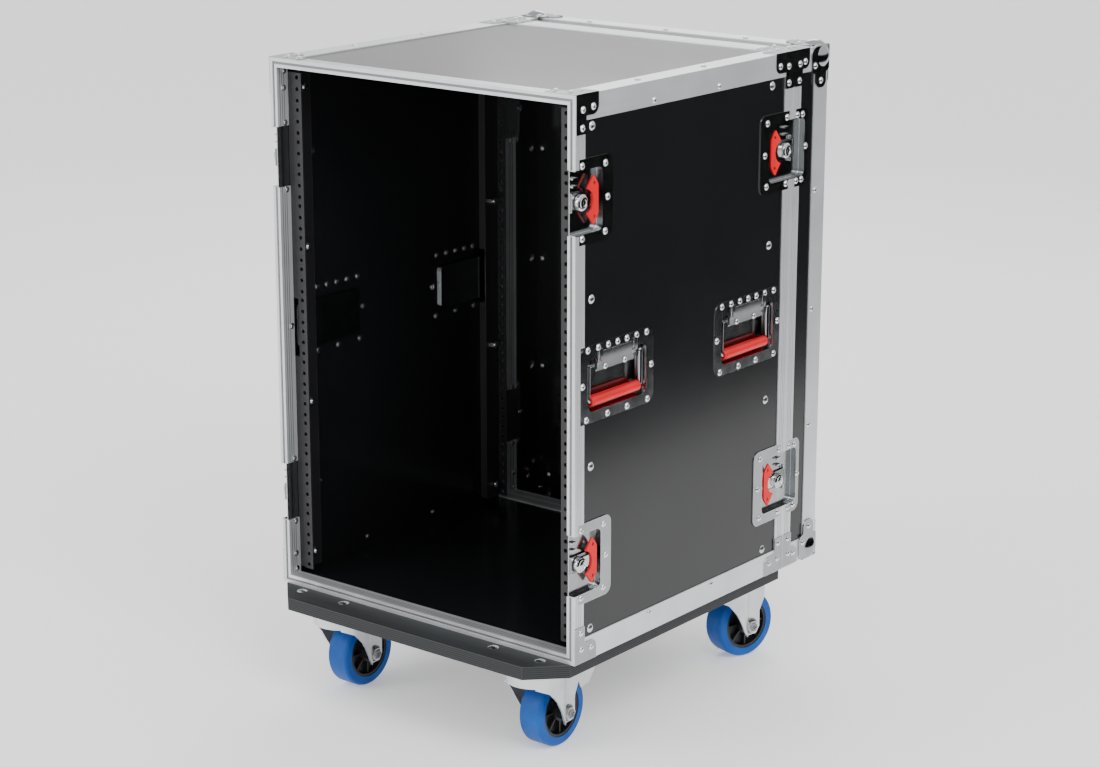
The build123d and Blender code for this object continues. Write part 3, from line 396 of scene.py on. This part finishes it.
def piece(name, shape, material, body, smooth=True):
    """Turn a bmesh into an object that rides on a body."""
    mesh = bpy.data.meshes.new(name)
    bmesh.ops.recalc_face_normals(shape, faces=shape.faces)
    shape.to_mesh(mesh)
    shape.free()
    mesh.materials.append(material)
    if smooth:
        mesh.shade_smooth()
        mesh.set_sharp_from_angle(angle=math.radians(35))
    thing = bpy.data.objects.new(name, mesh)
    bpy.context.scene.collection.objects.link(thing)
    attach(thing, body)
    return thing


def turned(shape, profile, at, axis, steps=24):
    """Add a turned form: (radius, height) points about an axis, standing on a point."""
    turn = axis.to_track_quat("Z", "Y").to_matrix()
    rings = []
    for radius, height in profile:
        if radius == 0:
            rings.append([shape.verts.new(at + turn @ Vector((0, 0, height)))])
            continue
        angles = [2 * math.pi * k / steps for k in range(steps)]
        spots = [Vector((radius * math.cos(a), radius * math.sin(a), height)) for a in angles]
        rings.append([shape.verts.new(at + turn @ spot) for spot in spots])
    for low, high in zip(rings, rings[1:]):
        for k in range(steps):
            after = (k + 1) % steps
            if len(low) == 1:
                shape.faces.new((low[0], high[k], high[after]))
            elif len(high) == 1:
                shape.faces.new((low[k], low[after], high[0]))
            else:
                shape.faces.new((low[k], low[after], high[after], high[k]))


def islands(node):
    """The (lowest, highest) corners of each separate solid in a CAD node."""
    shape = bmesh.new()
    shape.from_mesh(nodes[node].data)
    bmesh.ops.remove_doubles(shape, verts=shape.verts, dist=1e-6)
    seen, found = set(), []
    for start in shape.verts:
        if start in seen:
            continue
        seen.add(start)
        group, queue = [], [start]
        while queue:
            vert = queue.pop()
            group.append(vert.co.copy())
            for edge in vert.link_edges:
                other = edge.other_vert(vert)
                if other not in seen:
                    seen.add(other)
                    queue.append(other)
        low = Vector([min(c[k] for c in group) for k in range(3)])
        high = Vector([max(c[k] for c in group) for k in range(3)])
        found.append((low, high))
    shape.free()
    return found


# ---- rivets -------------------------------------------------------------------------------------
RIVET_PROFILE = in_mm((4.6, 0), (4.6, 0.3), (4.35, 0.55), (4.0, 0.75), (3.75, 1.1), (3.2, 1.75), (2.4, 2.25),
                      (1.7, 2.42), (1.25, 2.35), (1.05, 1.9), (0, 1.8))
TAIL_PROFILE = in_mm((4.4, 0), (4.4, 0.5), (4.1, 0.7), (2.5, 0.7), (2.4, 1.4), (1.7, 1.8), (0, 1.85))
WALL = 11 * MM
CHANNEL = 1.5 * MM            # the inner leg of an edge extrusion, over the wall
CHANNEL_LEG = 21.5 * MM
BATTENS = ((-252 * MM, -212 * MM), (152 * MM, 192 * MM))
KEEP_OFF = 6 * MM


def rivet_places(node):
    """The foot of each rivet of a CAD node on its wall, and its outward axis."""
    centre = Vector((0, (FRONT_Y + REAR_Y) / 2, MID_Z))
    for low, high in islands(node):
        size = high - low
        k = min(range(3), key=lambda i: size[i])
        middle = (low + high) / 2
        axis = Vector((0, 0, 0))
        axis[k] = 1 if middle[k] > centre[k] else -1
        base = middle.copy()
        base[k] = low[k] if axis[k] > 0 else high[k]
        yield base, axis


def tail_place(base, axis):
    """Where a rivet comes through inside the case, or None where a wall or a batten covers it."""
    in_channel = min(abs(base.y - FRONT_Y), abs(base.y - PART_Y)) < CHANNEL_LEG
    deep = WALL + (CHANNEL if in_channel else 0)
    low = Vector((deep - HALF_W, FRONT_Y, BASE_Z + deep))
    high = Vector((HALF_W - deep, REAR_Y - WALL, TOP_Z - deep))
    inside = base.copy()
    for k in range(3):
        if axis[k]:
            inside[k] = high[k] if axis[k] > 0 else low[k]
        elif not low[k] + KEEP_OFF < base[k] < high[k] - KEEP_OFF:
            return None
    if axis.x and any(start < base.y < stop for start, stop in BATTENS):
        return None
    return inside


def rivets(node, body):
    """A turned head with a rolled rim and a set dimple, and a washered tail inside the wall."""
    heads, tails = bmesh.new(), bmesh.new()
    for base, axis in rivet_places(node):
        turned(heads, RIVET_PROFILE, base, axis)
        inside = tail_place(base, axis)
        if inside is not None:
            turned(tails, TAIL_PROFILE, inside, -axis, 16)
    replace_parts(piece(node + "_heads", heads, MATERIALS["rivet_steel"], body), node)
    piece(node + "_tails", tails, MATERIALS["rivet_steel"], body)


rivets("body_rivets", "case")
rivets("lid_rivets", "lid")


# ---- handles ------------------------------------------------------------------------------------
def swept_sheet(shape, outline, start, end, thick, place):
    """Add a bent sheet: an outline of (out, up) points carried along one direction."""
    inner = [Vector((o - thick, u)) for o, u in outline]
    loop = [Vector(p) for p in outline] + inner[::-1]
    rows = [[shape.verts.new(place(p.x, at, p.y)) for p in loop] for at in (start, end)]
    count = len(loop)
    for k in range(count):
        after = (k + 1) % count
        shape.faces.new((rows[0][k], rows[0][after], rows[1][after], rows[1][k]))
    shape.faces.new(rows[0][::-1])
    shape.faces.new(rows[1])


COVER_OUTLINE = in_mm((1.1, 18.5), (1.1, 10), (-0.4, 4), (-3.2, -1), (-4.4, -9))
COVER_HALF = 41 * MM
COVER_T = 1.0 * MM
KNUCKLE_OUTLINE = in_mm((1.9, 22), (2.3, 14), (1.6, 6), (-1.6, 2))
KNUCKLE_LONG = 8 * MM
KNUCKLE_T = 1.4 * MM
STUD_ALONG = 21 * MM
STUD_IN, STUD_DOWN = 4.0 * MM, 5 * MM
FLANGE_IN = 0.3 * MM          # hinge cover foot, behind the outer face
COLLAR_SHAPE = ((0.56, 0), (0.9, 0), (0.96, 1 * MM), (0.8, 2.4 * MM), (0.56, 2.6 * MM))


def shifted(outline, out):
    return [(o + out, u) for o, u in outline]


def hinge_cover(name, place, out):
    """A bent plate over the hinge with a raised knuckle at each end."""
    shape = bmesh.new()
    swept_sheet(shape, shifted(COVER_OUTLINE, out), -COVER_HALF, COVER_HALF, COVER_T, place)
    for start in (-COVER_HALF, COVER_HALF - KNUCKLE_LONG):
        swept_sheet(shape, shifted(KNUCKLE_OUTLINE, out), start, start + KNUCKLE_LONG, KNUCKLE_T, place)
    # the cover's dark plate is painted shade
    cover = piece("hinge_cover_" + name, shape, SHADED_DARK_PLATE, "case")
    rounded = cover.modifiers.new("soft_edges", "BEVEL")
    rounded.width = 0.4 * MM
    rounded.segments = 2
    rounded.limit_method = "ANGLE"


def handle_trim(end, side, sign):
    """The hinge cover of a handle, the two studs on it, and collars on the grip."""
    name = f"{end}_{side}"
    hinge = joint_place("handle_lift_" + name)
    out = HALF_W - FLANGE_IN - hinge.x * sign

    def place(away, along, up):
        return Vector((hinge.x + sign * away, hinge.y + along, hinge.z + up))

    hinge_cover(name, place, out)
    studs = bmesh.new()
    for along in (-STUD_ALONG, STUD_ALONG):
        turned(studs, RIVET_PROFILE, place(out - STUD_IN, along, -STUD_DOWN), X * sign)
    piece("hinge_studs_" + name, studs, MATERIALS["rivet_steel"], "case")

    collars = bmesh.new()
    low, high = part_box("handle_grip_" + name)
    middle = (low + high) / 2
    ring = [(share * (high.z - low.z) / 2, height) for share, height in COLLAR_SHAPE]
    for direction, y in ((-1, low.y), (1, high.y)):
        turned(collars, ring, Vector((middle.x, y, middle.z)), Y * direction, 32)
    piece("grip_collars_" + name, collars, MATERIALS["red_grip"], "handle_" + name)


# ---- latches ------------------------------------------------------------------------------------
HUB_CAP = in_mm((9.6, -2.9), (9.9, -2.2), (8.6, -1.2), (7.4, -1.0), (6.9, -0.1), (4.6, 0.3), (4.1, -0.4),
                (2.6, -0.5), (2.3, 0.25), (0, 0.6))


def latch_trim(name, sign):
    """A stepped cap on the hub of a wing."""
    spindle = joint_place("latch_turn_" + name)
    low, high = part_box("latch_wing_" + name)
    top = Vector((high.x if sign > 0 else low.x, spindle.y, spindle.z))
    shape = bmesh.new()
    turned(shape, HUB_CAP, top, X * sign, 32)
    piece("hub_cap_" + name, shape, CHROME, "wing_" + name)


# ---- casters ------------------------------------------------------------------------------------
FORK_FACE = 28.0 * MM         # outer face of a fork leg, from the middle of the wheel
AXLE_END = 34.0 * MM
AXLE_WASHER = in_mm((12.2, 0), (12.2, 0.8), (11.6, 1.3), (9.5, 1.3))
AXLE_FACE = in_mm((7.6, 0), (7.6, 0.9), (6.8, 1.5), (4.2, 1.5), (3.9, 0.7), (0, 0.6))
SHIELD = in_mm((5.6, 0), (5.6, 0.9), (9.4, 1.2), (10.4, 0.7), (10.8, 0))
SHIELD_AT = 20.2 * MM         # bearing shields, from the middle of the wheel
RIBS = 8
RIB_NEAR, RIB_FAR = 13 * MM, 32.8 * MM
RIB_HALF = 1.1 * MM
RIB_FOOT, RIB_RISE = 8.0 * MM, 6.5 * MM
BOX_FACES = ((0, 1, 2, 3), (7, 6, 5, 4), (0, 4, 5, 1), (1, 5, 6, 2), (2, 6, 7, 3), (3, 7, 4, 0))


def hub_rib(shape, axle, out, spoke):
    """A flat rib along a spoke, standing on the web of the hub."""
    base, side = axle + out * RIB_FOOT, out.cross(spoke)
    plan = ((RIB_NEAR, -RIB_HALF), (RIB_FAR, -RIB_HALF), (RIB_FAR, RIB_HALF), (RIB_NEAR, RIB_HALF))
    verts = [shape.verts.new(base + spoke * r + side * s + out * h) for h in (0, RIB_RISE) for r, s in plan]
    for face in BOX_FACES:
        shape.faces.new([verts[k] for k in face])


def caster_trim(name):
    """Bearing shields and ribs in the hub, and a washer and a set face on each axle head."""
    axle = joint_place("wheel_spin_" + name)
    axis = Vector(JOINTS["wheel_spin_" + name]["axis"]).normalized()
    caps, ribs, nuts = bmesh.new(), bmesh.new(), bmesh.new()
    across = axis.cross(Z)
    for out in (-axis, axis):
        turned(caps, SHIELD, axle + out * SHIELD_AT, out, 32)
        for k in range(RIBS):
            angle = 2 * math.pi * k / RIBS
            hub_rib(ribs, axle, out, across * math.cos(angle) + Z * math.sin(angle))
        turned(nuts, AXLE_WASHER, axle + out * FORK_FACE, out, 32)
        turned(nuts, AXLE_FACE, axle + out * AXLE_END, out, 6)
    # the nuts' dark plate is painted shade
    piece("axle_nuts_" + name, nuts, SHADED_DARK_PLATE, "swivel_" + name)
    piece("bearing_caps_" + name, caps, MATERIALS["zinc_steel"], "wheel_" + name)
    piece("hub_ribs_" + name, ribs, MATERIALS["black_nylon"], "wheel_" + name)


for end in ENDS:
    for side, sign in SIDES:
        handle_trim(end, side, sign)
        caster_trim(f"{end}_{side}")
        for row in ("lower", "upper"):
            latch_trim(f"{end}_{row}_{side}", sign)


# ---- floor, light and camera --------------------------------------------------------------------
FLOOR_HALF = 30.0
CAMERA_PLACE = (2.2254, -2.7902, 1.4220)
CAMERA_AZIMUTH, CAMERA_ELEVATION = math.radians(38.463), math.radians(15.504)
LENS, SENSOR = 85.3, 36.0
FLAG_NEAR, FLAG_FAR = -0.6, 5.0


def stand(name, shape):
    """Turn a bmesh into a stage object."""
    mesh = bpy.data.meshes.new(name)
    shape.to_mesh(mesh)
    shape.free()
    thing = bpy.data.objects.new(name, mesh)
    bpy.context.scene.collection.objects.link(thing)
    return thing


def studio():
    shape = bmesh.new()
    bmesh.ops.create_grid(shape, x_segments=1, y_segments=1, size=FLOOR_HALF)
    ground = stand("studio_floor", shape)
    m = Material("studio_floor").fixed(Base_Color=(0.93, 0.93, 0.93, 1), Specular_IOR_Level=0.1,
                                      Emission_Color=(1, 1, 1, 1), Emission_Strength=0.35)
    m.rough(m.spread(m.noise(4.0, 3.0), 0.6, 0.8))
    ground.data.materials.append(m.mat)
    world = bpy.data.worlds.new("studio")
    world.use_nodes = True
    sky = world.node_tree.nodes["Background"]
    sky.inputs["Color"].default_value = (1.0, 1.0, 1.0, 1)
    sky.inputs["Strength"].default_value = 1.15
    bpy.context.scene.world = world


def flag(name, x):
    """A black card beside the case, seen only in its gloss."""
    shape = bmesh.new()
    corners = ((FLAG_NEAR, 0.0), (FLAG_FAR, 0.0), (FLAG_FAR, TOP_Z), (FLAG_NEAR, TOP_Z))
    shape.faces.new([shape.verts.new((x, y, z)) for y, z in corners])
    board = stand(name, shape)
    m = Material(name).fixed(Base_Color=(0.004, 0.004, 0.004, 1), Specular_IOR_Level=0.0)
    m.rough(m.spread(m.noise(4.0, 3.0), 0.9, 1.0))
    board.data.materials.append(m.mat)
    board.visible_camera = False
    board.visible_diffuse = False
    board.visible_shadow = False


def softbox(name, place, target, size, power):
    light = bpy.data.lights.new(name, "AREA")
    light.shape = "RECTANGLE"
    light.size, light.size_y = size
    light.energy = power
    lamp = bpy.data.objects.new(name, light)
    bpy.context.scene.collection.objects.link(lamp)
    lamp.location = place
    lamp.rotation_euler = (Vector(target) - Vector(place)).to_track_quat("-Z", "Y").to_euler()


def camera():
    """A long lens from the right of the open front, a little above the case."""
    data = bpy.data.cameras.new("camera")
    cam = bpy.data.objects.new("camera", data)
    bpy.context.scene.collection.objects.link(cam)
    cam.location = CAMERA_PLACE
    level = math.cos(CAMERA_ELEVATION)
    forward = Vector((-math.sin(CAMERA_AZIMUTH) * level, math.cos(CAMERA_AZIMUTH) * level,
                      -math.sin(CAMERA_ELEVATION)))
    cam.rotation_euler = forward.to_track_quat("-Z", "Y").to_euler()
    data.sensor_width = SENSOR
    data.lens = LENS
    data.dof.use_dof = False
    bpy.context.scene.camera = cam


studio()
flag("right_flag", 1.1)
flag("left_flag", -1.1)
softbox("key", (2.6, -1.2, 2.9), (0, 0, 0.5), (1.6, 1.6), 60)
softbox("front_fill", (-1.6, -3.0, 1.8), (0, 0, 0.5), (1.6, 2.0), 40)
softbox("back_rim", (-1.5, 2.6, 2.4), (0, 0, 0.6), (1.4, 1.4), 30)
camera()
